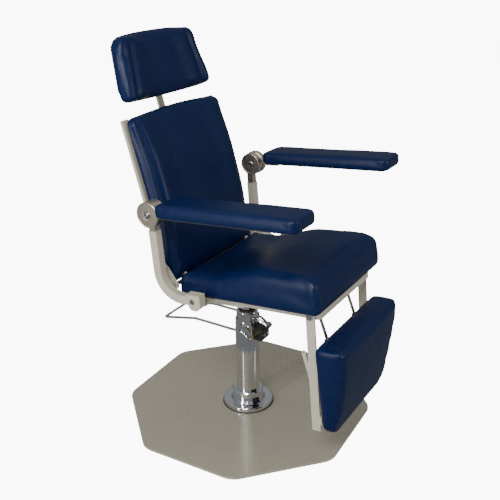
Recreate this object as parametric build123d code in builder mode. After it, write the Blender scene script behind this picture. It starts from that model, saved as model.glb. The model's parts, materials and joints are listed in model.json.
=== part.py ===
from build123d import *
import os
from math import cos, radians, sin

os.makedirs("parts", exist_ok=True)

# Patient recliner chair on a hydraulic pedestal. Millimetres, +Z up, origin on the column's axis at
# floor level. The sitter faces -Y, so the sitter's right hand is at -X.
#
# The seat frame stands tilted back on the column. Its pieces are drawn in the seat's own directions:
# "across" is X, "rearward" runs towards the back and "up" is square to the seat. The back frame leans
# back again from the seat frame and has its own planes too.

# ---- driving dimensions ----
INCH = 25.4
BASE_FLATS = 28 * INCH  # octagon plate, across the flats
BASE_THICKNESS = 6.0
BASE_CORNER = 62.0
BASE_TURN = 2.6  # degrees that the chair stands swivelled from the plate's flats
COLUMN_RADIUS = 36.8
COLUMN_TOP = 297.0
RAM_RADIUS = 22.0
RUNNING_GAP = 0.05  # radial clearance of pins and shafts
SOFT_GAP = 0.3  # room that soft pieces keep from their neighbours

SEAT_TILT = 4.9  # degrees, front edge raised
TILT_HEIGHT = 400.0  # the tilt turns about this height on the column's axis
TUBE = INCH  # square frame tube
WALL = 2.0
RAIL_HALF_WIDTH = 160.0  # outer face of the seat rails
RAIL_TOP = 447.4
FRAME_FRONT = -327.0
RAIL_REAR = 112.0
SEAT_HALF_WIDTH = 199.0
SEAT_FRONT = -339.0
SEAT_REAR = 80.0
SEAT_BOARD_THICKNESS = 9.4

BACK_LEAN = 11.0  # degrees, from the seat's own upright
BACK_FOOT = (122.0, 497.0)  # rearward and up, where the back's rest plane starts
BACK_LENGTH = 452.0
BACK_HALF_WIDTH = 209.0
BACK_BAR_THICKNESS = 9.5
BACK_PIVOT = (95.0, 480.0)
PIVOT_PIN_RADIUS = 6.0
CROSS_BAR_DEPTH = INCH / 2
CROSS_BAR_HALF = 190.0
GUIDE_DEPTH = 20.0
STRAP_WIDTH = INCH  # flat bars are one inch wide
STRAP = 6.0  # thickness of the headrest's flat bar

HEADREST_LOW = 496.0  # along the back, from the back's foot
HEADREST_HIGH = 662.0
HEADREST_LOW_HALF = 192.0
HEADREST_HIGH_HALF = 168.0
HEADREST_PIVOT = 525.0

LEG_PIVOT = (-301.0, 431.0)
LEG_BAR_THICKNESS = 6.3
CALF_TOP = 352.0
CALF_BOTTOM = 82.0

ARM_X = 267.5  # middle of the arm pad
POST_X = 249.4  # middle of the arm post
POST_Y = 112.0
POST_TOP = 652.0
POST_BEND = 71.5  # middle radius of the bend at the post's foot
ARM_AXIS = (106.5, 701.7)
ARM_WIDTH = 103.0
ARM_FRONT = -359.0
ARM_REAR = 43.0
ARM_CORNER = 18.0
ARM_PAD_LOW = 710.0
ARM_PAD_HIGH = 745.0
LEFT_ARM_RAISED = 12.3  # the left armrest is set this much higher
ARMS = (("right", -1, 0.0), ("left", 1, LEFT_ARM_RAISED))

# ---- planes of the tilted seat and of the leaning back ----
TILT = radians(SEAT_TILT)
REARWARD = Vector(0, cos(TILT), -sin(TILT))
SEAT_UP = Vector(0, sin(TILT), cos(TILT))
LEAN = radians(BACK_LEAN)
BEHIND = REARWARD * cos(LEAN) - SEAT_UP * sin(LEAN)
BACK_UP = REARWARD * sin(LEAN) + SEAT_UP * cos(LEAN)


def seat_point(across, rearward, up):
    """The place of a point that is given in the seat's own directions."""
    return Vector(across, 0, TILT_HEIGHT) + REARWARD * rearward + SEAT_UP * (up - TILT_HEIGHT)


def back_point(across, behind, along):
    """The place of a point that is given on the back: behind its rest plane and along it."""
    foot = seat_point(across, *BACK_FOOT)
    return foot + BEHIND * behind + BACK_UP * along


def seat_top(up):
    """Plan view of the seat at a height; extrudes upward."""
    return Plane(origin=seat_point(0, 0, up), x_dir=(1, 0, 0), z_dir=SEAT_UP)


def seat_side(across):
    """Side view of the seat, drawn in (rearward, up); extrudes towards +X."""
    return Plane(origin=seat_point(across, 0, 0), x_dir=REARWARD, z_dir=(1, 0, 0))


def seat_front(rearward):
    """Front view of the seat, drawn in (across, up); extrudes forward."""
    return Plane(origin=seat_point(0, rearward, 0), x_dir=(1, 0, 0), z_dir=REARWARD * -1)


def back_side(across):
    """Side view of the back, drawn in (behind, along); extrudes towards +X."""
    return Plane(origin=back_point(across, 0, 0), x_dir=BEHIND, z_dir=(1, 0, 0))


def back_front(behind):
    """Front view of the back, drawn in (across, along); extrudes forward."""
    return Plane(origin=back_point(0, behind, 0), x_dir=(1, 0, 0), z_dir=BEHIND * -1)


def back_place(rearward, up):
    """A point of the seat's side view, given on the back as (behind, along)."""
    dy = rearward - BACK_FOOT[0]
    dz = up - BACK_FOOT[1]
    return (dy * cos(LEAN) - dz * sin(LEAN), dy * sin(LEAN) + dz * cos(LEAN))


def save(piece, name):
    """Label a finished piece and write it."""
    piece.part.label = name
    export_step(piece.part, f"parts/{name}.step")


def slab_start(side, near, far):
    """The lower X of a slab between two distances from the middle, on one side of the chair."""
    return min(side * near, side * far)


# ---- base plate, flange and collar ----
SCREW_CIRCLE = 60.0
SCREW_RADIUS = 5.0
GASKET_TOP = BASE_THICKNESS + 2.0
FLANGE_RADIUS = 78.0
FLANGE_TOP = 20.0
COLLAR_RADIUS = 48.0
COLLAR_TOP = 57.0
SCREW_HOLE_DEPTH = 8.0
SCREW_END = GASKET_TOP + SCREW_HOLE_DEPTH - 0.5

with BuildPart() as base_plate:
    with BuildSketch(Plane.XY) as octagon:
        RegularPolygon(BASE_FLATS / 2, 8, major_radius=False, rotation=22.5 + BASE_TURN)
        fillet(octagon.vertices(), BASE_CORNER)
    extrude(amount=BASE_THICKNESS)
    fillet(base_plate.edges().group_by(Axis.Z)[-1], 2.5)
    with Locations(Location((0, 0, 0), (180, 0, 0))):
        with PolarLocations(SCREW_CIRCLE, 6):
            CounterSinkHole(SCREW_RADIUS + 0.1, 9.8)
save(base_plate, "base_plate")

with BuildPart() as base_gasket:
    with BuildSketch(Plane.XY.offset(BASE_THICKNESS)):
        Circle(FLANGE_RADIUS + 2)
        Circle(COLUMN_RADIUS + 1, mode=Mode.SUBTRACT)
        with PolarLocations(SCREW_CIRCLE, 6):
            Circle(SCREW_RADIUS + 0.5, mode=Mode.SUBTRACT)
    extrude(amount=GASKET_TOP - BASE_THICKNESS)
save(base_gasket, "base_gasket")

with BuildPart() as base_flange:
    with BuildSketch(Plane.XY.offset(GASKET_TOP)):
        Circle(FLANGE_RADIUS)
    extrude(amount=FLANGE_TOP - GASKET_TOP)
    fillet(base_flange.edges().group_by(Axis.Z)[-1], 4)
    with BuildSketch(Plane.XY.offset(GASKET_TOP)):
        Circle(COLUMN_RADIUS + RUNNING_GAP)
    extrude(amount=FLANGE_TOP - GASKET_TOP, mode=Mode.SUBTRACT)
    with BuildSketch(Plane.XY.offset(GASKET_TOP)):
        with PolarLocations(SCREW_CIRCLE, 6):
            Circle(SCREW_RADIUS + 0.1)
    extrude(amount=SCREW_HOLE_DEPTH, mode=Mode.SUBTRACT)
save(base_flange, "base_flange")

with BuildPart() as base_collar:
    with BuildSketch(Plane.XZ):
        with BuildLine():
            Polyline(
                (COLUMN_RADIUS + RUNNING_GAP, FLANGE_TOP),
                (COLLAR_RADIUS + 6, FLANGE_TOP),
                (COLLAR_RADIUS, FLANGE_TOP + 8),
                (COLLAR_RADIUS, COLLAR_TOP - 3),
                (COLLAR_RADIUS - 3, COLLAR_TOP),
                (COLUMN_RADIUS + RUNNING_GAP, COLLAR_TOP),
                close=True,
            )
        make_face()
    revolve(axis=Axis.Z)
save(base_collar, "base_collar")

with BuildPart() as base_screws:
    with PolarLocations(SCREW_CIRCLE, 6):
        with Locations((0, 0, 0.3)):
            Cone(9.2, SCREW_RADIUS, 4.6, align=(Align.CENTER, Align.CENTER, Align.MIN))
            Cylinder(SCREW_RADIUS, SCREW_END - 0.3, align=(Align.CENTER, Align.CENTER, Align.MIN))
save(base_screws, "base_screws")

# ---- hydraulic pump ----
CYLINDER_BORE = 25.0
HEAD_RADIUS = 33.4
HEAD_TOP = 331.0
PIN_RADIUS = 4.5
PEDAL_PIVOT = (-44.0, 261.0)
BLOCK_HALF_WIDTH = 20.0
BLOCK_FRONT = -66.0
BLOCK_LOW = 243.0
BLOCK_HIGH = 282.0

with BuildPart() as pump_cylinder:
    with BuildSketch(Plane.XY.offset(GASKET_TOP)):
        Circle(COLUMN_RADIUS)
    extrude(amount=COLUMN_TOP - GASKET_TOP)
    with BuildSketch(Plane.XY.offset(FLANGE_TOP)):
        Circle(CYLINDER_BORE)
    extrude(amount=COLUMN_TOP - FLANGE_TOP, mode=Mode.SUBTRACT)
save(pump_cylinder, "pump_cylinder")

# The release knob's stem leaves the head forward and a little downward.
STEM = Plane(origin=(0, -26, 311), x_dir=(1, 0, 0), z_dir=(0, -0.924, -0.382))
STEM_RADIUS = 3.0

with BuildPart() as pump_head:
    with BuildSketch(Plane.XY.offset(COLUMN_TOP)):
        Circle(HEAD_RADIUS)
    extrude(amount=HEAD_TOP - COLUMN_TOP)
    fillet(pump_head.edges().group_by(Axis.Z)[-1], 7)
    with BuildSketch(Plane.XY.offset(COLUMN_TOP)):
        Circle(RAM_RADIUS + RUNNING_GAP)
    extrude(amount=HEAD_TOP - COLUMN_TOP, mode=Mode.SUBTRACT)
    with BuildSketch(STEM):
        Circle(STEM_RADIUS + RUNNING_GAP)
    extrude(amount=12, mode=Mode.SUBTRACT)
save(pump_head, "pump_head")

with BuildPart() as pump_valve_caps:
    for turn in (-108, -48, 150):
        with BuildSketch(Plane(origin=(0, 0, 309), z_dir=(cos(radians(turn)), sin(radians(turn)), 0))):
            Circle(6)
        extrude(amount=HEAD_RADIUS + 4)
    with BuildSketch(Plane.XY.offset(COLUMN_TOP)):
        Circle(HEAD_RADIUS)
    extrude(amount=30, mode=Mode.SUBTRACT)
save(pump_valve_caps, "pump_valve_caps")

with BuildPart() as pump_valve_block:
    with BuildSketch(Plane.XY.offset(BLOCK_LOW)):
        with Locations((0, (BLOCK_FRONT - 30) / 2)):
            Rectangle(2 * BLOCK_HALF_WIDTH, -30 - BLOCK_FRONT)
        Circle(COLUMN_RADIUS + RUNNING_GAP, mode=Mode.SUBTRACT)
    extrude(amount=BLOCK_HIGH - BLOCK_LOW)
    fillet(pump_valve_block.edges().filter_by(Axis.X).sort_by(Axis.Y)[:2], 7)
    with BuildSketch(Plane.YZ.offset(-BLOCK_HALF_WIDTH)):
        with Locations(PEDAL_PIVOT):
            Circle(PIN_RADIUS + 0.02)
    extrude(amount=2 * BLOCK_HALF_WIDTH, mode=Mode.SUBTRACT)
save(pump_valve_block, "pump_valve_block")

with BuildPart() as pump_pivot_pin:
    with BuildSketch(Plane.YZ.offset(-61)):
        with Locations(PEDAL_PIVOT):
            Circle(PIN_RADIUS)
    extrude(amount=122)
save(pump_pivot_pin, "pump_pivot_pin")

with BuildPart() as release_knob:
    with BuildSketch(STEM.offset(0.5)):
        Circle(STEM_RADIUS)
    extrude(amount=38)
    with BuildSketch(STEM.offset(38)):
        Circle(9)
    extrude(amount=13)
    fillet(release_knob.edges().filter_by(GeomType.CIRCLE).sort_by(Axis.Y)[0], 3)
save(release_knob, "release_knob")

# ---- foot pedal: one bent rod with an eye at each end ----
PEDAL_ROD = 4.25
PEDAL_HALF = 55.7
PEDAL_HEIGHT = 280.6
PEDAL_FOOT_HALF = 66.0
EYE_NEAR = 51.5
EYE_WIDTH = 8.5

with BuildPart() as pump_bail:
    with BuildLine() as pedal_path:
        FilletPolyline(
            (-PEDAL_HALF, -36, 266),
            (-PEDAL_HALF, -15, PEDAL_HEIGHT),
            (-PEDAL_HALF, 155, PEDAL_HEIGHT),
            (-PEDAL_FOOT_HALF, 267, 260),
            (PEDAL_FOOT_HALF, 267, 260),
            (PEDAL_HALF, 155, PEDAL_HEIGHT),
            (PEDAL_HALF, -15, PEDAL_HEIGHT),
            (PEDAL_HALF, -36, 266),
            radius=9,
        )
    with BuildSketch(Plane(origin=pedal_path.line @ 0, z_dir=pedal_path.line % 0)):
        Circle(PEDAL_ROD)
    sweep(path=pedal_path.line)
    for eye_start in (-EYE_NEAR - EYE_WIDTH, EYE_NEAR):
        with BuildSketch(Plane.YZ.offset(eye_start)):
            with Locations(PEDAL_PIVOT):
                Circle(9.5)
        extrude(amount=EYE_WIDTH)
    with BuildSketch(Plane.YZ.offset(-70)):
        with Locations(PEDAL_PIVOT):
            Circle(PIN_RADIUS + RUNNING_GAP)
    extrude(amount=140, mode=Mode.SUBTRACT)
save(pump_bail, "pump_bail")

# ---- ram and piston ----
PISTON_LOW = 60.0
PISTON_HIGH = 80.0
WASHER_LOW = 366.0
SPINDLE_RADIUS = 17.0
SPINDLE_TOP = 404.0

with BuildPart() as lift_ram:
    with BuildSketch(Plane.XY.offset(PISTON_HIGH)):
        Circle(RAM_RADIUS)
    extrude(amount=WASHER_LOW - PISTON_HIGH)
    with BuildSketch(Plane.XY.offset(WASHER_LOW)):
        Circle(SPINDLE_RADIUS)
    extrude(amount=SPINDLE_TOP - WASHER_LOW)
    chamfer(lift_ram.edges().group_by(Axis.Z)[-1], 1.5)
save(lift_ram, "lift_ram")

with BuildPart() as lift_piston:
    with BuildSketch(Plane.XY.offset(PISTON_LOW)):
        Circle(CYLINDER_BORE - RUNNING_GAP)
    extrude(amount=PISTON_HIGH - PISTON_LOW)
save(lift_piston, "lift_piston")

with BuildPart() as thrust_washer:
    with BuildSketch(Plane.XY.offset(WASHER_LOW)):
        Circle(34)
        Circle(SPINDLE_RADIUS + RUNNING_GAP, mode=Mode.SUBTRACT)
    extrude(amount=4)
save(thrust_washer, "thrust_washer")

# ---- swivel housing and mount plate under the seat rails ----
RAIL_LOW = RAIL_TOP - TUBE
PLATE_THICKNESS = 6.0
HOUSING_LOW = WASHER_LOW + 4 + RUNNING_GAP

with BuildPart() as swivel_housing:
    with BuildSketch(Plane.XY.offset(HOUSING_LOW)):
        Circle(42)
    extrude(amount=60)
    with BuildSketch(Plane.XY.offset(HOUSING_LOW)):
        Circle(SPINDLE_RADIUS + RUNNING_GAP)
    extrude(amount=SPINDLE_TOP - HOUSING_LOW + 1, mode=Mode.SUBTRACT)
    split(bisect_by=seat_top(RAIL_LOW - PLATE_THICKNESS), keep=Keep.BOTTOM)
save(swivel_housing, "swivel_housing")

with BuildPart() as seat_mount_plate:
    with BuildSketch(seat_top(RAIL_LOW - PLATE_THICKNESS)):
        RectangleRounded(2 * RAIL_HALF_WIDTH, 190, 14)
    extrude(amount=PLATE_THICKNESS)
save(seat_mount_plate, "seat_mount_plate")

# ---- seat frame ----
RAIL_MIDDLE = RAIL_HALF_WIDTH - TUBE / 2
TUBE_MIDDLE_UP = RAIL_TOP - TUBE / 2
FRONT_BAR_REAR = FRAME_FRONT + TUBE
REAR_BAR_REAR = 106.0
BOLT_RADIUS = 5.0

with BuildPart() as seat_rails:
    for side in (-1, 1):
        with BuildSketch(seat_front(RAIL_REAR)):
            with Locations((side * RAIL_MIDDLE, TUBE_MIDDLE_UP)):
                Rectangle(TUBE, TUBE)
                Rectangle(TUBE - 2 * WALL, TUBE - 2 * WALL, mode=Mode.SUBTRACT)
        extrude(amount=RAIL_REAR - FRONT_BAR_REAR)
    with BuildSketch(seat_side(-RAIL_HALF_WIDTH)):
        with Locations(LEG_PIVOT):
            Circle(BOLT_RADIUS + RUNNING_GAP)
    extrude(amount=2 * RAIL_HALF_WIDTH, mode=Mode.SUBTRACT)
save(seat_rails, "seat_rails")

with BuildPart() as seat_front_bar:
    with BuildSketch(seat_top(RAIL_LOW)) as bar_plan:
        with Locations((0, (FRAME_FRONT + FRONT_BAR_REAR) / 2)):
            Rectangle(2 * RAIL_HALF_WIDTH, TUBE)
        fillet(bar_plan.vertices().group_by(Axis.Y)[0], 12)
    extrude(amount=TUBE)
    with BuildSketch(seat_side(-RAIL_HALF_WIDTH + TUBE)):
        with Locations(((FRAME_FRONT + FRONT_BAR_REAR) / 2, TUBE_MIDDLE_UP)):
            Rectangle(TUBE - 2 * WALL, TUBE - 2 * WALL)
    extrude(amount=2 * (RAIL_HALF_WIDTH - TUBE), mode=Mode.SUBTRACT)
    with BuildSketch(seat_side(-RAIL_HALF_WIDTH)):
        with Locations(LEG_PIVOT):
            Circle(BOLT_RADIUS + RUNNING_GAP)
    extrude(amount=2 * RAIL_HALF_WIDTH, mode=Mode.SUBTRACT)
save(seat_front_bar, "seat_front_bar")

with BuildPart() as seat_rear_bar:
    with BuildSketch(seat_side(-RAIL_HALF_WIDTH + TUBE)):
        with Locations((REAR_BAR_REAR - TUBE / 2, TUBE_MIDDLE_UP)):
            Rectangle(TUBE, TUBE)
            Rectangle(TUBE - 2 * WALL, TUBE - 2 * WALL, mode=Mode.SUBTRACT)
    extrude(amount=2 * (RAIL_HALF_WIDTH - TUBE))
save(seat_rear_bar, "seat_rear_bar")

# ---- arm brackets and the bent arm posts ----
BRACKET_HALF_LENGTH = 22.0
BRACKET_HIGH = 482.0
POST_HALF = TUBE / 2
POST_FOOT_UP = 462.5

with BuildPart() as arm_brackets:
    for side in (-1, 1):
        with BuildSketch(seat_side(slab_start(side, POST_X - POST_HALF, POST_X + POST_HALF))) as lug:
            Polygon(
                (-BRACKET_HALF_LENGTH, BRACKET_HIGH),
                (BRACKET_HALF_LENGTH, BRACKET_HIGH),
                (BRACKET_HALF_LENGTH, 455),
                (10, 436),
                (-10, 436),
                (-BRACKET_HALF_LENGTH, 450),
                align=None,
            )
            fillet(lug.vertices().group_by(Axis((0, 0, 0), SEAT_UP))[0], 8)
        extrude(amount=TUBE)
        with BuildSketch(seat_side(slab_start(side, RAIL_HALF_WIDTH, POST_X - POST_HALF))):
            with Locations((0, RAIL_TOP - 3)):
                Rectangle(40, 5.6)
        extrude(amount=POST_X - POST_HALF - RAIL_HALF_WIDTH)
save(arm_brackets, "arm_brackets")

for side_name, side, _ in ARMS:
    with BuildPart() as arm_post:
        with BuildLine(seat_side(side * POST_X)) as post_path:
            bend_up = POST_FOOT_UP + POST_BEND
            riser = Line((POST_Y, POST_TOP), (POST_Y, bend_up))
            bend = RadiusArc(riser @ 1, (POST_Y - POST_BEND, POST_FOOT_UP), POST_BEND)
            Line(bend @ 1, (BRACKET_HALF_LENGTH, POST_FOOT_UP))
        with BuildSketch(Plane(origin=post_path.line @ 0, x_dir=(1, 0, 0), z_dir=SEAT_UP * -1)):
            RectangleRounded(TUBE, TUBE, 2.5)
            RectangleRounded(TUBE - 2 * WALL, TUBE - 2 * WALL, 0.8, mode=Mode.SUBTRACT)
        sweep(path=post_path.line)
    save(arm_post, f"arm_post_{side_name}")

# ---- bracket bolts and leg bolts ----
LEG_BAR_INNER = RAIL_HALF_WIDTH + 0.6
LEG_BAR_OUTER = LEG_BAR_INNER + LEG_BAR_THICKNESS
POST_OUTER = POST_X + POST_HALF

with BuildPart() as frame_bolts:
    for side in (-1, 1):
        with BuildSketch(seat_side(slab_start(side, RAIL_HALF_WIDTH - 22, LEG_BAR_OUTER + 0.3))):
            with Locations(LEG_PIVOT):
                Circle(BOLT_RADIUS)
        extrude(amount=LEG_BAR_OUTER + 0.3 - RAIL_HALF_WIDTH + 22)
        with BuildSketch(seat_side(slab_start(side, LEG_BAR_OUTER + 0.3, LEG_BAR_OUTER + 4.8))):
            with Locations(LEG_PIVOT):
                Circle(8.5)
        extrude(amount=4.5)
        with BuildSketch(seat_side(slab_start(side, POST_OUTER, POST_OUTER + 3.5))):
            with Locations((2.6, 463)):
                Circle(7)
        extrude(amount=3.5)
save(frame_bolts, "frame_bolts")

# ---- pivot of the back ----
BRACKET_PLATE = 5.0
PIN_INNER = 157.0
PIN_OUTER = 221.0

with BuildPart() as back_brackets:
    for side in (-1, 1):
        with BuildSketch(seat_side(slab_start(side, RAIL_HALF_WIDTH, RAIL_HALF_WIDTH + BRACKET_PLATE))):
            with Locations((BACK_PIVOT[0] + 1.5, 456)):
                Rectangle(25, 62)
            with Locations((BACK_PIVOT[0] + 1.5, 487)):
                Circle(12.5)
            with Locations(BACK_PIVOT):
                Circle(PIVOT_PIN_RADIUS + 0.02, mode=Mode.SUBTRACT)
        extrude(amount=BRACKET_PLATE)
save(back_brackets, "back_brackets")

with BuildPart() as back_pivot_pins:
    for side in (-1, 1):
        with BuildSketch(seat_side(slab_start(side, PIN_INNER, PIN_OUTER))):
            with Locations(BACK_PIVOT):
                Circle(PIVOT_PIN_RADIUS)
        extrude(amount=PIN_OUTER - PIN_INNER)
save(back_pivot_pins, "back_pivot_pins")

# ---- seat board and cushion ----
BOARD_HIGH = RAIL_TOP + SEAT_BOARD_THICKNESS

with BuildPart() as seat_board:
    with BuildSketch(seat_top(RAIL_TOP)):
        with Locations((0, (SEAT_FRONT + SEAT_REAR) / 2 + 3)):
            RectangleRounded(2 * SEAT_HALF_WIDTH - 50, SEAT_REAR - SEAT_FRONT - 24, 18)
    extrude(amount=SEAT_BOARD_THICKNESS)
save(seat_board, "seat_board")

with BuildPart() as seat_cushion:
    with BuildSketch(seat_side(-SEAT_HALF_WIDTH)):
        with BuildLine():
            Polyline(
                (SEAT_REAR, BOARD_HIGH + SOFT_GAP),
                (SEAT_REAR, 500),
                (10, 508),
                (-90, 524),
                (-180, 537),
                (SEAT_FRONT + 26, 540),
                (SEAT_FRONT + 4, 530),
                (SEAT_FRONT, 510),
                (SEAT_FRONT, BOARD_HIGH + SOFT_GAP),
                close=True,
            )
        make_face()
    extrude(amount=2 * SEAT_HALF_WIDTH)
save(seat_cushion, "seat_cushion")

# ---- rods that stop the calf pad short of the frame ----
STOP_X = 88.0
STOP_RADIUS = 4.5
BUMPER_HALF = 6.5

with BuildPart() as legrest_stops:
    for side in (-1, 1):
        with BuildLine(seat_side(side * STOP_X)) as stop_path:
            FilletPolyline((FRONT_BAR_REAR, 434), (-277, 434), (-307.6, 328), radius=10)
        with BuildSketch(Plane(origin=stop_path.line @ 0, z_dir=stop_path.line % 0)):
            Circle(STOP_RADIUS)
        sweep(path=stop_path.line)
save(legrest_stops, "legrest_stops")

with BuildPart() as stop_bumpers:
    for side in (-1, 1):
        with BuildSketch(seat_side(side * STOP_X - BUMPER_HALF)):
            with Locations((-309.4, 322)):
                SlotCenterToCenter(12, 13, rotation=73.2)
        extrude(amount=2 * BUMPER_HALF)
    add(legrest_stops.part, mode=Mode.SUBTRACT)
save(stop_bumpers, "stop_bumpers")

# ---- back frame ----
BAR_INNER = BACK_HALF_WIDTH + 2.4 - STRAP_WIDTH
BAR_OUTER = BACK_HALF_WIDTH + 2.4
CROSS_BAR_BEHIND = BACK_BAR_THICKNESS + CROSS_BAR_DEPTH
HINGE_PLATE = 4.8
PIVOT_BEHIND, PIVOT_ALONG = back_place(*BACK_PIVOT)

with BuildPart() as back_side_bars:
    for side in (-1, 1):
        with BuildSketch(back_front(BACK_BAR_THICKNESS)):
            with Locations((side * (BAR_INNER + BAR_OUTER) / 2, BACK_LENGTH / 2)):
                RectangleRounded(STRAP_WIDTH, BACK_LENGTH - 8, 6)
        extrude(amount=BACK_BAR_THICKNESS)
save(back_side_bars, "back_side_bars")

with BuildPart() as back_cross_bars:
    for along in (70, 250, 425):
        with BuildSketch(back_side(-CROSS_BAR_HALF)):
            with Locations((BACK_BAR_THICKNESS + CROSS_BAR_DEPTH / 2, along)):
                Rectangle(CROSS_BAR_DEPTH, TUBE)
                Rectangle(CROSS_BAR_DEPTH - 2 * WALL, TUBE - 2 * WALL, mode=Mode.SUBTRACT)
        extrude(amount=2 * CROSS_BAR_HALF)
save(back_cross_bars, "back_cross_bars")

with BuildPart() as back_hinge_plates:
    for side in (-1, 1):
        with BuildSketch(back_side(slab_start(side, BAR_OUTER, BAR_OUTER + HINGE_PLATE))):
            with BuildLine():
                Polyline(
                    (0, 120),
                    (BACK_BAR_THICKNESS, 120),
                    (BACK_BAR_THICKNESS, 0),
                    (PIVOT_BEHIND + 9, PIVOT_ALONG - 9),
                    (PIVOT_BEHIND - 9, PIVOT_ALONG + 9),
                    (-16, 30),
                    (0, 60),
                    close=True,
                )
            make_face()
            with Locations((PIVOT_BEHIND, PIVOT_ALONG)):
                Circle(13)
                Circle(PIVOT_PIN_RADIUS + RUNNING_GAP, mode=Mode.SUBTRACT)
        extrude(amount=HINGE_PLATE)
save(back_hinge_plates, "back_hinge_plates")

with BuildPart() as back_board:
    with BuildSketch(back_front(BACK_BAR_THICKNESS - 0.2)):
        with Locations((0, BACK_LENGTH / 2)):
            RectangleRounded(2 * BAR_INNER - 2, BACK_LENGTH - 30, 15)
    extrude(amount=BACK_BAR_THICKNESS - 0.6)
save(back_board, "back_board")

with BuildPart() as back_cushion:
    with BuildSketch(back_side(-BACK_HALF_WIDTH)):
        with BuildLine():
            lower_front = Spline((-26, 6), (-33, 80), (-44, 190), (-46, 290), (-36, 390), (-26, 440))
            Polyline(lower_front @ 1, (-14, BACK_LENGTH), (-SOFT_GAP, BACK_LENGTH))
            Polyline((-SOFT_GAP, BACK_LENGTH), (-SOFT_GAP, 2), (-18, 2), lower_front @ 0)
        make_face()
    extrude(amount=2 * BACK_HALF_WIDTH)
save(back_cushion, "back_cushion")

# ---- headrest guide, bar and clamp ----
GUIDE_NEAR = CROSS_BAR_BEHIND
GUIDE_FAR = GUIDE_NEAR + GUIDE_DEPTH
BAR_BEHIND = GUIDE_NEAR + GUIDE_DEPTH / 2
GUIDE_WIDTH = 36.0
GUIDE_LOW = 300.0
CLAMP_ALONG = 345.0
CLAMP_RADIUS = 4.0
GUIDE_WALL = (GUIDE_DEPTH - STRAP) / 2 - 0.1
KNOB_GAP = 4.0
KNOB_THICKNESS = 14.0
CLAMP_TIP = KNOB_GAP + GUIDE_WALL - 0.1

with BuildPart() as headrest_guide:
    with BuildSketch(back_side(-GUIDE_WIDTH / 2)):
        with Locations((BAR_BEHIND, (GUIDE_LOW + BACK_LENGTH) / 2)):
            Rectangle(GUIDE_DEPTH, BACK_LENGTH - GUIDE_LOW)
            Rectangle(STRAP + 0.2, BACK_LENGTH - GUIDE_LOW + 2, mode=Mode.SUBTRACT)
    extrude(amount=GUIDE_WIDTH)
    for side in (-1, 1):
        with BuildSketch(back_side(slab_start(side, STRAP_WIDTH / 2 + 0.1, GUIDE_WIDTH / 2))):
            with Locations((BAR_BEHIND, (GUIDE_LOW + BACK_LENGTH) / 2)):
                Rectangle(GUIDE_DEPTH, BACK_LENGTH - GUIDE_LOW)
        extrude(amount=GUIDE_WIDTH / 2 - STRAP_WIDTH / 2 - 0.1)
    with BuildSketch(back_front(GUIDE_FAR)):
        with Locations((0, CLAMP_ALONG)):
            Circle(CLAMP_RADIUS + RUNNING_GAP)
    extrude(amount=GUIDE_WALL, mode=Mode.SUBTRACT)
save(headrest_guide, "headrest_guide")

with BuildPart() as headrest_clamp_knob:
    with BuildSketch(back_front(GUIDE_FAR + KNOB_GAP + KNOB_THICKNESS)):
        with Locations((0, CLAMP_ALONG)):
            Circle(15)
            with PolarLocations(16.5, 8):
                Circle(2.6, mode=Mode.SUBTRACT)
    extrude(amount=KNOB_THICKNESS)
    with BuildSketch(back_front(GUIDE_FAR + KNOB_GAP)):
        with Locations((0, CLAMP_ALONG)):
            Circle(CLAMP_RADIUS)
    extrude(amount=CLAMP_TIP)
save(headrest_clamp_knob, "headrest_clamp_knob")

PIN_BLOCK_RADIUS = 6.8
HEADREST_PIN_RADIUS = 4.0
EAR_GAP = 0.4
EAR_THICKNESS = 4.0
HEAD_BOARD_BEHIND = 22.0
HEAD_BOARD_THICKNESS = 9.0
BRACKET_WEB = 3.0

with BuildPart() as headrest_bar:
    with BuildSketch(back_side(-STRAP_WIDTH / 2)):
        with Locations((BAR_BEHIND, (230 + HEADREST_PIVOT) / 2)):
            Rectangle(STRAP, HEADREST_PIVOT - 230)
        with Locations((BAR_BEHIND, HEADREST_PIVOT)):
            Circle(PIN_BLOCK_RADIUS)
            Circle(HEADREST_PIN_RADIUS + RUNNING_GAP, mode=Mode.SUBTRACT)
    extrude(amount=STRAP_WIDTH)
save(headrest_bar, "headrest_bar")

with BuildPart() as headrest_bracket:
    with BuildSketch(back_front(HEAD_BOARD_BEHIND + BRACKET_WEB)):
        with Locations((0, HEADREST_PIVOT + 22)):
            RectangleRounded(70, 60, 6)
    extrude(amount=BRACKET_WEB)
    for side in (-1, 1):
        ear_near = STRAP_WIDTH / 2 + EAR_GAP
        with BuildSketch(back_side(slab_start(side, ear_near, ear_near + EAR_THICKNESS))):
            with Locations(((HEAD_BOARD_BEHIND + BAR_BEHIND) / 2, HEADREST_PIVOT)):
                Rectangle(BAR_BEHIND - HEAD_BOARD_BEHIND, 20)
            with Locations((BAR_BEHIND, HEADREST_PIVOT)):
                Circle(10)
                Circle(HEADREST_PIN_RADIUS, mode=Mode.SUBTRACT)
        extrude(amount=EAR_THICKNESS)
save(headrest_bracket, "headrest_bracket")

with BuildPart() as headrest_pin:
    with BuildSketch(back_side(-19)):
        with Locations((BAR_BEHIND, HEADREST_PIVOT)):
            Circle(HEADREST_PIN_RADIUS)
    extrude(amount=38)
save(headrest_pin, "headrest_pin")

with BuildPart() as headrest_board:
    with BuildSketch(back_front(HEAD_BOARD_BEHIND)) as board_outline:
        Polygon(
            (-HEADREST_LOW_HALF + 16, HEADREST_LOW + 12),
            (HEADREST_LOW_HALF - 16, HEADREST_LOW + 12),
            (HEADREST_HIGH_HALF - 14, HEADREST_HIGH - 12),
            (-HEADREST_HIGH_HALF + 14, HEADREST_HIGH - 12),
            align=None,
        )
        fillet(board_outline.vertices(), 18)
    extrude(amount=HEAD_BOARD_THICKNESS)
save(headrest_board, "headrest_board")

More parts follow.
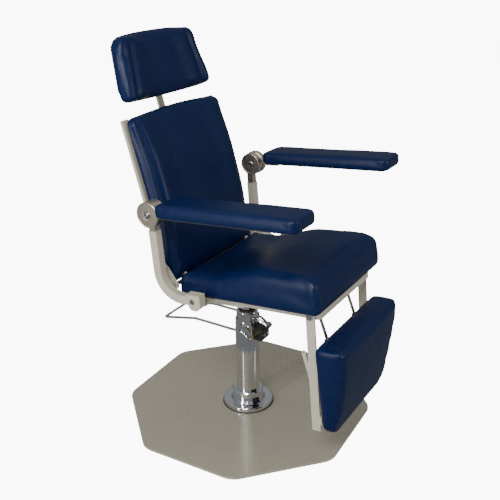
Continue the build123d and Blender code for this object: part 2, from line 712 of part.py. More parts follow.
with BuildPart() as headrest_cushion:
    with BuildSketch(back_front(HEAD_BOARD_BEHIND - HEAD_BOARD_THICKNESS - SOFT_GAP)) as cushion_outline:
        Polygon(
            (-HEADREST_LOW_HALF, HEADREST_LOW),
            (HEADREST_LOW_HALF, HEADREST_LOW),
            (HEADREST_HIGH_HALF, HEADREST_HIGH),
            (-HEADREST_HIGH_HALF, HEADREST_HIGH),
            align=None,
        )
        fillet(cushion_outline.vertices(), 22)
    extrude(amount=34)
save(headrest_cushion, "headrest_cushion")

# ---- legrest ----
LEG_BAR_LOW = 86.0
CALF_STRAP = 5.0
LEG_FRONT = LEG_PIVOT[0] - STRAP_WIDTH / 2
CALF_BOARD_REAR = LEG_FRONT - CALF_STRAP
CALF_BOARD_FRONT = CALF_BOARD_REAR - 8.6

with BuildPart() as leg_bars:
    for side in (-1, 1):
        with BuildSketch(seat_side(slab_start(side, LEG_BAR_INNER, LEG_BAR_OUTER))):
            with Locations((LEG_PIVOT[0], (LEG_PIVOT[1] + LEG_BAR_LOW) / 2)):
                Rectangle(STRAP_WIDTH, LEG_PIVOT[1] - LEG_BAR_LOW)
            with Locations(LEG_PIVOT):
                Circle(STRAP_WIDTH / 2)
                Circle(BOLT_RADIUS + RUNNING_GAP, mode=Mode.SUBTRACT)
        extrude(amount=LEG_BAR_THICKNESS)
save(leg_bars, "leg_bars")

with BuildPart() as calf_cross_bars:
    for up in (120, 285):
        with BuildSketch(seat_side(-LEG_BAR_OUTER)):
            with Locations((LEG_FRONT - CALF_STRAP / 2, up)):
                Rectangle(CALF_STRAP, STRAP_WIDTH)
        extrude(amount=2 * LEG_BAR_OUTER)
save(calf_cross_bars, "calf_cross_bars")

# The stay is a short flat bar with a round end, fixed inside the right leg bar.
with BuildPart() as leg_stay:
    with BuildSketch(seat_side(-LEG_BAR_INNER)):
        with Locations((-285, 261.5)):
            SlotCenterToCenter(116, 11, rotation=77)
        with Locations((-272, 318)):
            Circle(2.8, mode=Mode.SUBTRACT)
    extrude(amount=4.5)
save(leg_stay, "leg_stay")

with BuildPart() as calf_board:
    with BuildSketch(seat_front(CALF_BOARD_REAR)) as board_outline:
        Polygon(
            (-158, CALF_BOTTOM + 10),
            (158, CALF_BOTTOM + 10),
            (170, CALF_TOP - 8),
            (-170, CALF_TOP - 8),
            align=None,
        )
        fillet(board_outline.vertices(), 12)
    extrude(amount=CALF_BOARD_REAR - CALF_BOARD_FRONT)
save(calf_board, "calf_board")

with BuildPart() as calf_cushion:
    with BuildSketch(seat_side(-200)):
        with BuildLine():
            Polyline(
                (CALF_BOARD_FRONT - SOFT_GAP, CALF_BOTTOM),
                (CALF_BOARD_FRONT - SOFT_GAP, CALF_TOP),
                (-394, CALF_TOP),
                (-400, CALF_TOP - 8),
                (-394, 250),
                (-352, CALF_BOTTOM),
                close=True,
            )
        make_face()
    extrude(amount=400)
    with BuildSketch(seat_front(-250)):
        Polygon(
            (-170, CALF_BOTTOM - 2),
            (170, CALF_BOTTOM - 2),
            (195, CALF_TOP + 2),
            (-195, CALF_TOP + 2),
            align=None,
        )
    extrude(amount=200, mode=Mode.INTERSECT)
save(calf_cushion, "calf_cushion")

# ---- armrests ----
DISC_OUTER_RADIUS = 35.9
DISC_INNER_RADIUS = 33.6
DISC_FACES = (238.2, 260.0, 260.5, 277.7)  # distances from the middle, inner disc then outer disc
SLIDER = TUBE - 2 * WALL - 0.2
SLIDER_LOW = 562.0
ARM_BOLT_RADIUS = 6.0
TONGUE_TOP = 703.8
ARM_BAR_TOP = ARM_PAD_LOW - 0.2
ARM_BAR_REAR = 60.0
ARM_BAR_FRONT = -190.0

for side_name, side, raised in ARMS:
    axis_up = ARM_AXIS[1] + raised
    axis = (ARM_AXIS[0], axis_up)
    inner_start = slab_start(side, DISC_FACES[0], DISC_FACES[1])
    outer_start = slab_start(side, DISC_FACES[2], DISC_FACES[3])

    with BuildPart() as arm_slider:
        with BuildSketch(seat_top(SLIDER_LOW + raised)):
            with Locations((side * POST_X, POST_Y)):
                RectangleRounded(SLIDER, SLIDER, 0.9)
        extrude(amount=axis_up - SLIDER_LOW - raised - 8)
        with BuildSketch(seat_side(inner_start)):
            with Locations(axis):
                Circle(DISC_INNER_RADIUS)
        extrude(amount=DISC_FACES[1] - DISC_FACES[0])
        with BuildSketch(seat_side(inner_start)):
            with Locations(axis):
                Circle(ARM_BOLT_RADIUS)
        extrude(amount=DISC_FACES[1] - DISC_FACES[0], mode=Mode.SUBTRACT)
    save(arm_slider, f"arm_slider_{side_name}")

    with BuildPart() as arm_pivot_bolt:
        with BuildSketch(seat_side(slab_start(side, DISC_FACES[0], DISC_FACES[3] + 0.4))):
            with Locations(axis):
                Circle(ARM_BOLT_RADIUS)
        extrude(amount=DISC_FACES[3] + 0.4 - DISC_FACES[0])
        with BuildSketch(seat_side(slab_start(side, DISC_FACES[3] + 0.4, DISC_FACES[3] + 3.4))):
            with Locations(axis):
                Circle(9)
        extrude(amount=3)
    save(arm_pivot_bolt, f"arm_pivot_bolt_{side_name}")

    with BuildPart() as arm_disc:
        with BuildSketch(seat_side(outer_start)):
            with Locations(axis):
                Circle(DISC_OUTER_RADIUS)
        extrude(amount=DISC_FACES[3] - DISC_FACES[2])
        with BuildSketch(seat_side(slab_start(side, DISC_FACES[2] + 1, DISC_FACES[3] - 1))):
            with Locations((50, TONGUE_TOP + raised - 4.5)):
                Rectangle(60, 9)
        extrude(amount=DISC_FACES[3] - DISC_FACES[2] - 2)
        with BuildSketch(seat_side(outer_start)):
            with Locations(axis):
                Circle(ARM_BOLT_RADIUS + RUNNING_GAP)
        extrude(amount=DISC_FACES[3] - DISC_FACES[2], mode=Mode.SUBTRACT)
    save(arm_disc, f"arm_disc_{side_name}")

    with BuildPart() as arm_bar:
        with BuildSketch(seat_top(TONGUE_TOP + raised)):
            with Locations((side * ARM_X, (ARM_BAR_FRONT + ARM_BAR_REAR) / 2)):
                RectangleRounded(STRAP_WIDTH, ARM_BAR_REAR - ARM_BAR_FRONT, 8)
        extrude(amount=ARM_BAR_TOP - TONGUE_TOP)
    save(arm_bar, f"arm_bar_{side_name}")

    with BuildPart() as arm_board:
        with BuildSketch(seat_top(ARM_BAR_TOP + raised)):
            with Locations((side * ARM_X, (ARM_FRONT + ARM_REAR) / 2)):
                RectangleRounded(ARM_WIDTH - 6, ARM_REAR - ARM_FRONT - 6, ARM_CORNER - 3)
        extrude(amount=6)
    save(arm_board, f"arm_board_{side_name}")

    with BuildPart() as arm_pad:
        with BuildSketch(seat_top(ARM_BAR_TOP + 6 + SOFT_GAP + raised)):
            with Locations((side * ARM_X, (ARM_FRONT + ARM_REAR) / 2)):
                RectangleRounded(ARM_WIDTH, ARM_REAR - ARM_FRONT, ARM_CORNER)
        extrude(amount=ARM_PAD_HIGH - ARM_BAR_TOP - 6 - SOFT_GAP)
    save(arm_pad, f"arm_pad_{side_name}")
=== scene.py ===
"""Looks of a patient recliner chair on a hydraulic pedestal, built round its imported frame.

Everything is in metres on the frame's axes: +Z up, the origin under the column at floor level and
the sitter facing -Y. Padded pieces are shaped flat on their boards first and then laid in place.
"""
import json
import logging
import math
from collections.abc import Callable
from dataclasses import dataclass
from enum import Enum

import bpy
from mathutils import Matrix, Vector, noise

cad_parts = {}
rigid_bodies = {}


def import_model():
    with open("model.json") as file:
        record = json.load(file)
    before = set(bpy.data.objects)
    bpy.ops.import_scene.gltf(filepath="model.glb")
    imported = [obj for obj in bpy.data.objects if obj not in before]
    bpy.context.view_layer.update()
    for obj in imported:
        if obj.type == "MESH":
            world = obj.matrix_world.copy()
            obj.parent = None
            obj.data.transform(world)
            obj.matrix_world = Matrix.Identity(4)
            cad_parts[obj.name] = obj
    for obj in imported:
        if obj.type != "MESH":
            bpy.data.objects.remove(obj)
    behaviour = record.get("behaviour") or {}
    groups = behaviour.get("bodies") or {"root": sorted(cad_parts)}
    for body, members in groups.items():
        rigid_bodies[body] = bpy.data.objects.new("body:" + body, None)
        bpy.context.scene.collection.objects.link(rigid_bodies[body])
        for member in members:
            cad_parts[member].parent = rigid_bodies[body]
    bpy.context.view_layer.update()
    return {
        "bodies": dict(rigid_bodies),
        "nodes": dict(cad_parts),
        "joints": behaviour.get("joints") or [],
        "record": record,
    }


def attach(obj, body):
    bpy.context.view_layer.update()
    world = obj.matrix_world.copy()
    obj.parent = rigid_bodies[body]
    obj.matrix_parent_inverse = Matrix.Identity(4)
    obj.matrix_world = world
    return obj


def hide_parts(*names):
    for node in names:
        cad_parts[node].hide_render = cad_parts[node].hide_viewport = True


log = logging.getLogger("recliner")
MM = 0.001

# ---- the tilted seat and the leaning back, as the frame has them ----
SEAT_TILT = math.radians(4.9)
TILT_HEIGHT = 400.0
BACK_LEAN = math.radians(11.0)
ACROSS = Vector((1, 0, 0))
REARWARD = Vector((0, math.cos(SEAT_TILT), -math.sin(SEAT_TILT)))
SEAT_UP = Vector((0, math.sin(SEAT_TILT), math.cos(SEAT_TILT)))
BEHIND = REARWARD * math.cos(BACK_LEAN) - SEAT_UP * math.sin(BACK_LEAN)
BACK_UP = REARWARD * math.sin(BACK_LEAN) + SEAT_UP * math.cos(BACK_LEAN)
BACK_FOOT = (122.0, 497.0)
LEFT_ARM_RAISED = 12.3


def seat_point(across: float, rearward: float, up: float) -> Vector:
    """Find a place that is given in the seat's own directions.

    Args:
        across: Distance from the middle, in mm.
        rearward: Distance behind the column's axis, in mm.
        up: Height square to the seat, in mm.

    Returns:
        The place in the frame, in metres.
    """
    millimetres = Vector((across, 0, TILT_HEIGHT)) + REARWARD * rearward + SEAT_UP * (up - TILT_HEIGHT)
    return millimetres * MM


def back_point(across: float, behind: float, along: float) -> Vector:
    """Find a place that is given on the leaning back.

    Args:
        across: Distance from the middle, in mm.
        behind: Distance behind the back's rest plane, in mm.
        along: Distance up the back from its foot, in mm.

    Returns:
        The place in the frame, in metres.
    """
    return seat_point(across, *BACK_FOOT) + (BEHIND * behind + BACK_UP * along) * MM


def smooth(value: float, low: float, high: float) -> float:
    """Rise gently from 0 at low to 1 at high.

    Args:
        value: The number to place between the limits.
        low: Where the rise starts.
        high: Where the rise ends.

    Returns:
        A number from 0 to 1.
    """
    part = min(max((value - low) / (high - low), 0.0), 1.0)
    return part * part * (3 - 2 * part)


# ---- shared shader effects ----
class Relief(Enum):
    """The fine relief of a surface."""

    GRAIN = "vinyl_grain"
    PEEL = "paint_peel"
    LINES = "polish_lines"
    WEAVE = "lining_weave"
    CAST = "cast_skin"


class Effects:
    """Shader node groups that the finishes share, each built once."""

    def __init__(self) -> None:
        """Start with no group built."""
        self.built: dict[str, bpy.types.NodeTree] = {}

    def group(self, name: str) -> bpy.types.NodeTree:
        """Fetch a group, building it on first use.

        Args:
            name: The name of the group.

        Returns:
            The node tree of the group.
        """
        if name not in self.built:
            makers = {
                "tone_drift": self.tone_drift,
                Relief.GRAIN.value: self.vinyl_grain,
                Relief.PEEL.value: self.paint_peel,
                Relief.LINES.value: self.polish_lines,
                Relief.WEAVE.value: self.lining_weave,
                Relief.CAST.value: self.cast_skin,
            }
            self.built[name] = makers[name](name)
        return self.built[name]

    @staticmethod
    def start(name: str, inputs: dict[str, str], outputs: dict[str, str]) -> tuple:
        """Make an empty group with named sockets.

        Args:
            name: The name of the group.
            inputs: Socket names and types going in.
            outputs: Socket names and types coming out.

        Returns:
            The tree, its input node and its output node.
        """
        tree = bpy.data.node_groups.new(name, "ShaderNodeTree")
        for label, kind in inputs.items():
            tree.interface.new_socket(label, in_out="INPUT", socket_type=kind)
        for label, kind in outputs.items():
            tree.interface.new_socket(label, in_out="OUTPUT", socket_type=kind)
        return tree, tree.nodes.new("NodeGroupInput"), tree.nodes.new("NodeGroupOutput")

    @staticmethod
    def noise_node(tree: bpy.types.NodeTree, vector: bpy.types.NodeSocket, scale: float, detail: float) -> bpy.types.Node:
        """Add a noise texture to a tree.

        Args:
            tree: The tree to add to.
            vector: The socket that places the texture.
            scale: Features per metre.
            detail: Octaves of detail.

        Returns:
            The noise node.
        """
        node = tree.nodes.new("ShaderNodeTexNoise")
        node.inputs["Scale"].default_value = scale
        node.inputs["Detail"].default_value = detail
        tree.links.new(vector, node.inputs["Vector"])
        return node

    def tone_drift(self, name: str) -> bpy.types.NodeTree:
        """Build the slow drift of colour and gloss over a surface.

        Args:
            name: The name of the group.

        Returns:
            The node tree of the group.
        """
        inputs = {
            "Vector": "NodeSocketVector",
            "Base Tone": "NodeSocketColor",
            "Worn Tone": "NodeSocketColor",
            "Gloss Low": "NodeSocketFloat",
            "Gloss High": "NodeSocketFloat",
        }
        tree, start, end = self.start(name, inputs, {"Tone": "NodeSocketColor", "Gloss": "NodeSocketFloat"})
        broad = self.noise_node(tree, start.outputs["Vector"], 5.0, 3.0)
        fine = self.noise_node(tree, start.outputs["Vector"], 60.0, 5.0)
        both = tree.nodes.new("ShaderNodeMath")
        both.operation = "MULTIPLY"
        tree.links.new(broad.outputs["Fac"], both.inputs[0])
        tree.links.new(fine.outputs["Fac"], both.inputs[1])
        spread = tree.nodes.new("ShaderNodeMapRange")
        spread.inputs["From Min"].default_value = 0.15
        spread.inputs["From Max"].default_value = 0.4
        tree.links.new(both.outputs["Value"], spread.inputs["Value"])
        mix = tree.nodes.new("ShaderNodeMix")
        mix.data_type = "RGBA"
        tree.links.new(spread.outputs["Result"], mix.inputs["Factor"])
        tree.links.new(start.outputs["Base Tone"], mix.inputs["A"])
        tree.links.new(start.outputs["Worn Tone"], mix.inputs["B"])
        gloss = tree.nodes.new("ShaderNodeMapRange")
        tree.links.new(spread.outputs["Result"], gloss.inputs["Value"])
        tree.links.new(start.outputs["Gloss Low"], gloss.inputs["To Min"])
        tree.links.new(start.outputs["Gloss High"], gloss.inputs["To Max"])
        tree.links.new(mix.outputs["Result"], end.inputs["Tone"])
        tree.links.new(gloss.outputs["Result"], end.inputs["Gloss"])
        return tree

    def relief_start(self, name: str) -> tuple:
        """Make an empty relief group, which turns a place into a height.

        Args:
            name: The name of the group.

        Returns:
            The tree, its input node and its output node.
        """
        return self.start(name, {"Vector": "NodeSocketVector"}, {"Height": "NodeSocketFloat"})

    def vinyl_grain(self, name: str) -> bpy.types.NodeTree:
        """Build the pebbled grain of upholstery vinyl: small cells with soft creases between them.

        Args:
            name: The name of the group.

        Returns:
            The node tree of the group.
        """
        tree, start, end = self.relief_start(name)
        cells = tree.nodes.new("ShaderNodeTexVoronoi")
        cells.feature = "SMOOTH_F1"
        cells.inputs["Scale"].default_value = 620.0
        tree.links.new(start.outputs["Vector"], cells.inputs["Vector"])
        folds = self.noise_node(tree, start.outputs["Vector"], 160.0, 4.0)
        total = tree.nodes.new("ShaderNodeMath")
        total.operation = "MULTIPLY_ADD"
        total.inputs[1].default_value = 0.6
        tree.links.new(cells.outputs["Distance"], total.inputs[0])
        tree.links.new(folds.outputs["Fac"], total.inputs[2])
        tree.links.new(total.outputs["Value"], end.inputs["Height"])
        return tree

    def paint_peel(self, name: str) -> bpy.types.NodeTree:
        """Build the slight orange peel of baked enamel.

        Args:
            name: The name of the group.

        Returns:
            The node tree of the group.
        """
        tree, start, end = self.relief_start(name)
        peel = self.noise_node(tree, start.outputs["Vector"], 260.0, 2.0)
        tree.links.new(peel.outputs["Fac"], end.inputs["Height"])
        return tree

    def polish_lines(self, name: str) -> bpy.types.NodeTree:
        """Build the fine turned lines of a polished round part.

        Args:
            name: The name of the group.

        Returns:
            The node tree of the group.
        """
        tree, start, end = self.relief_start(name)
        squeeze = tree.nodes.new("ShaderNodeMapping")
        squeeze.inputs["Scale"].default_value = (0.08, 0.08, 1.0)
        tree.links.new(start.outputs["Vector"], squeeze.inputs["Vector"])
        lines = self.noise_node(tree, squeeze.outputs["Vector"], 900.0, 3.0)
        tree.links.new(lines.outputs["Fac"], end.inputs["Height"])
        return tree

    def lining_weave(self, name: str) -> bpy.types.NodeTree:
        """Build the plain weave of a black lining cloth.

        Args:
            name: The name of the group.

        Returns:
            The node tree of the group.
        """
        tree, start, end = self.relief_start(name)
        threads = []
        for direction in ("X", "Z"):
            wave = tree.nodes.new("ShaderNodeTexWave")
            wave.bands_direction = direction
            wave.inputs["Scale"].default_value = 220.0
            tree.links.new(start.outputs["Vector"], wave.inputs["Vector"])
            threads.append(wave)
        both = tree.nodes.new("ShaderNodeMath")
        both.operation = "MULTIPLY"
        tree.links.new(threads[0].outputs["Fac"], both.inputs[0])
        tree.links.new(threads[1].outputs["Fac"], both.inputs[1])
        tree.links.new(both.outputs["Value"], end.inputs["Height"])
        return tree

    def cast_skin(self, name: str) -> bpy.types.NodeTree:
        """Build the sandy skin of a casting under paint.

        Args:
            name: The name of the group.

        Returns:
            The node tree of the group.
        """
        tree, start, end = self.relief_start(name)
        sand = self.noise_node(tree, start.outputs["Vector"], 420.0, 6.0)
        tree.links.new(sand.outputs["Fac"], end.inputs["Height"])
        return tree


Colour = tuple[float, float, float]


@dataclass(frozen=True)
class Finish:
    """A surface finish: its tones, its gloss and its fine relief."""

    name: str
    base_tone: Colour
    worn_tone: Colour
    gloss: tuple[float, float]
    relief: Relief
    relief_depth: float
    relief_strength: float = 0.3
    metallic: float = 0.0
    coat: float = 0.0
    coat_roughness: float = 0.1
    sheen: float = 0.0
    specular: float = 0.5

    def make(self, effects: Effects) -> bpy.types.Material:
        """Build the material of the finish.

        Args:
            effects: The shared shader groups.

        Returns:
            The material.
        """
        material = bpy.data.materials.new(self.name)
        material.use_nodes = True
        tree = material.node_tree
        shader = tree.nodes["Principled BSDF"]
        place = tree.nodes.new("ShaderNodeTexCoord").outputs["Object"]
        drift = tree.nodes.new("ShaderNodeGroup")
        drift.node_tree = effects.group("tone_drift")
        drift.inputs["Base Tone"].default_value = (*self.base_tone, 1)
        drift.inputs["Worn Tone"].default_value = (*self.worn_tone, 1)
        drift.inputs["Gloss Low"].default_value = self.gloss[0]
        drift.inputs["Gloss High"].default_value = self.gloss[1]
        height = tree.nodes.new("ShaderNodeGroup")
        height.node_tree = effects.group(self.relief.value)
        bump = tree.nodes.new("ShaderNodeBump")
        bump.inputs["Strength"].default_value = self.relief_strength
        bump.inputs["Distance"].default_value = self.relief_depth
        tree.links.new(place, drift.inputs["Vector"])
        tree.links.new(place, height.inputs["Vector"])
        tree.links.new(height.outputs["Height"], bump.inputs["Height"])
        tree.links.new(drift.outputs["Tone"], shader.inputs["Base Color"])
        tree.links.new(drift.outputs["Gloss"], shader.inputs["Roughness"])
        tree.links.new(bump.outputs["Normal"], shader.inputs["Normal"])
        shader.inputs["Metallic"].default_value = self.metallic
        shader.inputs["Coat Weight"].default_value = self.coat
        shader.inputs["Coat Roughness"].default_value = self.coat_roughness
        shader.inputs["Sheen Weight"].default_value = self.sheen
        shader.inputs["Specular IOR Level"].default_value = self.specular
        return material


FINISHES = {
    "navy_vinyl": Finish(
        "navy_vinyl", (0.0007, 0.0062, 0.036), (0.001, 0.0078, 0.041), (0.33, 0.42), Relief.GRAIN, 0.0003,
        relief_strength=0.18, specular=0.2,
    ),
    "beige_paint": Finish(
        "beige_paint", (0.37, 0.345, 0.272), (0.34, 0.315, 0.247), (0.3, 0.38), Relief.PEEL, 0.0003,
        relief_strength=0.12,
    ),
    "base_paint": Finish(
        "base_paint", (0.225, 0.208, 0.16), (0.216, 0.2, 0.153), (0.24, 0.29), Relief.PEEL, 0.0003,
        relief_strength=0.02, coat=0.12, coat_roughness=0.12,
    ),
    "chrome": Finish(
        "chrome", (0.72, 0.72, 0.74), (0.66, 0.66, 0.68), (0.05, 0.1), Relief.LINES, 0.00005,
        relief_strength=0.06, metallic=1.0,
    ),
    "nickel": Finish(
        "nickel", (0.72, 0.64, 0.53), (0.56, 0.49, 0.4), (0.34, 0.46), Relief.LINES, 0.0001,
        relief_strength=0.12, metallic=1.0,
    ),
    "fastener_steel": Finish(
        "fastener_steel", (0.62, 0.62, 0.62), (0.5, 0.5, 0.49), (0.18, 0.3), Relief.LINES, 0.00008,
        relief_strength=0.15, metallic=1.0,
    ),
    "brass": Finish(
        "brass", (0.6, 0.42, 0.16), (0.48, 0.32, 0.12), (0.2, 0.34), Relief.LINES, 0.0001,
        relief_strength=0.15, metallic=1.0,
    ),
    "black_cast": Finish(
        "black_cast", (0.012, 0.012, 0.013), (0.02, 0.02, 0.02), (0.34, 0.5), Relief.CAST, 0.0004,
        relief_strength=0.3,
    ),
    "rubber": Finish(
        "rubber", (0.014, 0.014, 0.014), (0.024, 0.023, 0.022), (0.6, 0.75), Relief.CAST, 0.0003,
        relief_strength=0.3,
    ),
    "plywood": Finish(
        "black_lining", (0.011, 0.011, 0.013), (0.018, 0.018, 0.02), (0.75, 0.9), Relief.WEAVE, 0.0004,
        relief_strength=0.5, sheen=0.2,
    ),
}


class Wardrobe:
    """The materials of the chair, each made once."""

    def __init__(self) -> None:
        """Make every finish."""
        effects = Effects()
        self.materials = {slot: finish.make(effects) for slot, finish in FINISHES.items()}

    def dress(self, piece: bpy.types.Object, slot: str) -> None:
        """Give a piece one finish all over.

        Args:
            piece: The piece to dress.
            slot: The name of its finish.
        """
        if not piece.data.materials:
            piece.data.materials.append(self.materials[slot])
        for holder in piece.material_slots:
            holder.material = self.materials[slot]


# ---- modelling helpers ----
def activate(piece: bpy.types.Object) -> None:
    """Select one object alone and make it active."""
    bpy.ops.object.select_all(action="DESELECT")
    piece.select_set(True)
    bpy.context.view_layer.objects.active = piece


def apply_modifier(piece: bpy.types.Object, modifier: bpy.types.Modifier) -> None:
    """Apply one modifier of a piece."""
    activate(piece)
    bpy.ops.object.modifier_apply(modifier=modifier.name)


def shade(piece: bpy.types.Object, angle: float) -> None:
    """Smooth a piece across edges up to an angle in degrees."""
    activate(piece)
    bpy.ops.object.shade_smooth_by_angle(angle=math.radians(angle))


def settle(piece: bpy.types.Object, place: Matrix) -> None:
    """Put a piece in its place, leaving its object at the origin.

    Args:
        piece: The finished piece, modelled at the origin.
        place: Where it goes in the frame.
    """
    piece.data.transform(piece.matrix_basis)
    piece.data.transform(place)
    piece.matrix_basis = Matrix.Identity(4)


@dataclass(frozen=True)
class Placement:
    """A flat working place: its middle, the way its length runs and the way it faces."""

    middle: Vector
    length_way: Vector
    face_way: Vector

    def matrix(self) -> Matrix:
        """Return the transform from the working place to the frame."""
        side_way = self.length_way.cross(self.face_way)
        turned = Matrix((side_way, self.length_way, self.face_way)).transposed().to_4x4()
        turned.translation = self.middle
        return turned


def rounded_outline(corners: list[tuple[float, float, float]], steps: int = 7) -> list[Vector]:
    """Draw a closed outline with a round at each corner.

    Args:
        corners: Each corner's two coordinates and its radius, counterclockwise.
        steps: Edges in each round.

    Returns:
        The points of the outline.
    """
    points = []
    for index, (x, y, radius) in enumerate(corners):
        here = Vector((x, y))
        before = (Vector(corners[index - 1][:2]) - here).normalized()
        after = (Vector(corners[(index + 1) % len(corners)][:2]) - here).normalized()
        half = before.angle(after) / 2
        centre = here + (before + after).normalized() * (radius / math.sin(half))
        start = here + before * (radius / math.tan(half))
        end = here + after * (radius / math.tan(half))
        for step in range(steps + 1):
            ray = start.lerp(end, step / steps) - centre
            points.append(centre + ray.normalized() * radius)
    return points


def inset_outline(points: list[Vector], inset: float) -> list[Vector]:
    """Move an outline inwards by a distance.

    Args:
        points: The outline, counterclockwise.
        inset: How far each point moves in.

    Returns:
        The moved points.
    """
    moved = []
    for index, point in enumerate(points):
        run = points[(index + 1) % len(points)] - points[index - 1]
        moved.append(point + Vector((-run.y, run.x)).normalized() * inset)
    return moved


ShapeRule = Callable[[float, float], float]


@dataclass
class Cushion:
    """A padded piece: a cut outline on a board, swollen by its filling and drawn in by its seams."""

    name: str
    node: str
    body: str
    placement: Placement
    corners: list[tuple[float, float, float]]
    thickness: ShapeRule
    relief: ShapeRule
    edge_round: float = 13.0
    swell: float = 7.0
    pressure: float = 4.0
    fill: float = 0.8
    voxel: float = 6.0
    work_height: float = 60.0
    frames: int = 20
    calming: int = 8

    def block(self) -> bpy.types.Object:
        """Build the uncovered pad: rings of its outline from the board up to its face."""
        outline = rounded_outline(self.corners)
        top = self.work_height - self.swell
        bend = self.edge_round
        rings = [(0.0, 4.0), (5.0, 0.0), (top - bend, 0.0)]
        for step in range(1, 5):
            angle = math.radians(90 * step / 4)
            rings.append((top - bend + bend * math.sin(angle), bend * (1 - math.cos(angle))))
        vertices = []
        for height, inset in rings:
            ring = inset_outline(outline, inset + self.swell * 0.6)
            vertices += [(point.x * MM, point.y * MM, height * MM) for point in ring]
        count = len(outline)
        faces = [tuple(reversed(range(count)))]
        for level in range(len(rings) - 1):
            low = level * count
            for index in range(count):
                after = (index + 1) % count
                faces.append((low + index, low + after, low + count + after, low + count + index))
        last = (len(rings) - 1) * count
        faces.append(tuple(range(last, last + count)))
        mesh = bpy.data.meshes.new(self.name)
        mesh.from_pydata(vertices, [], faces)
        piece = bpy.data.objects.new(self.name, mesh)
        bpy.context.scene.collection.objects.link(piece)
        remesh = piece.modifiers.new("even_cloth", "REMESH")
        remesh.mode = "VOXEL"
        remesh.voxel_size = self.voxel * MM
        apply_modifier(piece, remesh)
        self.calm(piece, 3)
        return piece

    @staticmethod
    def calm(piece: bpy.types.Object, repeats: int) -> None:
        """Relax the small wrinkles out of a cover."""
        activate(piece)
        bpy.ops.object.mode_set(mode="EDIT")
        bpy.ops.mesh.select_all(action="SELECT")
        bpy.ops.mesh.vertices_smooth(factor=0.5, repeat=repeats)
        bpy.ops.object.mode_set(mode="OBJECT")

    def inflate(self, piece: bpy.types.Object) -> None:
        """Swell the cover with the filling's pressure, held where it is fixed to the board.

        Args:
            piece: The evenly meshed pad.
        """
        rest = [vertex.co.copy() for vertex in piece.data.vertices]
        held = piece.vertex_groups.new(name="held")
        fixed_height = 8.0 * MM
        held.add([v.index for v in piece.data.vertices if v.co.z < fixed_height], 1.0, "REPLACE")
        cloth = piece.modifiers.new("cover", "CLOTH")
        settings = cloth.settings
        settings.quality = 4
        settings.mass = 0.4
        settings.tension_stiffness = 40
        settings.compression_stiffness = 40
        settings.bending_stiffness = 8
        settings.use_pressure = True
        settings.uniform_pressure_force = self.pressure
        settings.effector_weights.gravity = 0
        settings.vertex_group_mass = held.name
        cloth.point_cache.frame_start = 1
        cloth.point_cache.frame_end = self.frames
        for frame in range(1, self.frames + 1):
            bpy.context.scene.frame_set(frame)
        apply_modifier(piece, cloth)
        cap = self.swell * MM
        for vertex, start in zip(piece.data.vertices, rest):
            move = vertex.co - start
            if move.length > cap:
                vertex.co = start + move.normalized() * cap
        piece.vertex_groups.clear()
        bpy.context.scene.frame_set(1)
        self.calm(piece, self.calming)

    def shape(self, piece: bpy.types.Object) -> None:
        """Give the swollen pad its thickness, refine its cover and press in its channels.

        Args:
            piece: The swollen pad.
        """
        for vertex in piece.data.vertices:
            x, y = vertex.co.x / MM, vertex.co.y / MM
            vertex.co.z *= self.thickness(x, y) / self.work_height
        refine = piece.modifiers.new("refine", "SUBSURF")
        refine.levels = 1
        refine.render_levels = 1
        apply_modifier(piece, refine)
        for vertex in piece.data.vertices:
            x, y, z = (value / MM for value in vertex.co)
            depth = self.thickness(x, y)
            facing = smooth(z, depth * 0.45, depth * 0.85)
            ripple = noise.noise(Vector((x, y, z)) * 0.012) * 0.7
            vertex.co.z += (self.relief(x, y) + ripple) * facing * MM

    def build(self, wardrobe: Wardrobe) -> bpy.types.Object:
        """Make the finished piece and tie it to the frame.

        Args:
            wardrobe: The chair's materials.

        Returns:
            The finished piece.
        """
        piece = self.block()
        self.inflate(piece)
        self.shape(piece)
        settle(piece, self.placement.matrix())
        shade(piece, 60)
        wardrobe.dress(piece, "navy_vinyl")
        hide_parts(self.node)
        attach(piece, self.body)
        log.info("%s: %d faces on %s", self.name, len(piece.data.polygons), self.body)
        return piece


def groove(distance: float, depth: float, width: float) -> float:
    """Press in a seam: a narrow crease with a soft shoulder.

    Args:
        distance: How far a point is from the seam's line, in mm.
        depth: The depth of the crease, in mm.
        width: The half width of the crease, in mm.

    Returns:
        The change in height, in mm.
    """
    return -depth * math.exp(-((abs(distance) / width) ** 1.3))


@dataclass
class SeatPad:
    """The seat cushion: a low hip well at the rear and a raised front."""

    half_width: float = 207.0
    front: float = -349.0
    rear: float = 99.0
    underside: float = 447.8
    rear_height: float = 62.0
    front_height: float = 104.0
    rise: tuple[float, float] = (10.0, -185.0)

    def thickness(self, x: float, y: float) -> float:
        """Return the pad's thickness at a place on its board."""
        climb = smooth(-y, -self.rise[0], -self.rise[1])
        crown = 2.0 * (1 - (x / self.half_width) ** 2)
        waterfall = 6.0 * smooth(-y, -self.front - 70, -self.front)
        return self.rear_height + (self.front_height - self.rear_height) * climb + crown - waterfall

    def relief(self, x: float, y: float) -> float:
        """Return the dish of the hip well."""
        well = smooth(-y, 120, -10) * (1 - smooth(abs(x), 60, 180))
        return -4.0 * well

    def build(self, wardrobe: Wardrobe) -> None:
        """Build the seat cushion."""
        corners = [
            (-self.half_width, self.front, 20.0),
            (self.half_width, self.front, 20.0),
            (self.half_width, self.rear, 13.0),
            (-self.half_width, self.rear, 13.0),
        ]
        placement = Placement(seat_point(0, 0, self.underside), REARWARD, SEAT_UP)
        Cushion(
            "seat_cover", "seat_cushion", "seat", placement, corners, self.thickness, self.relief,
            edge_round=8.0, swell=6.0, calming=4,
        ).build(wardrobe)


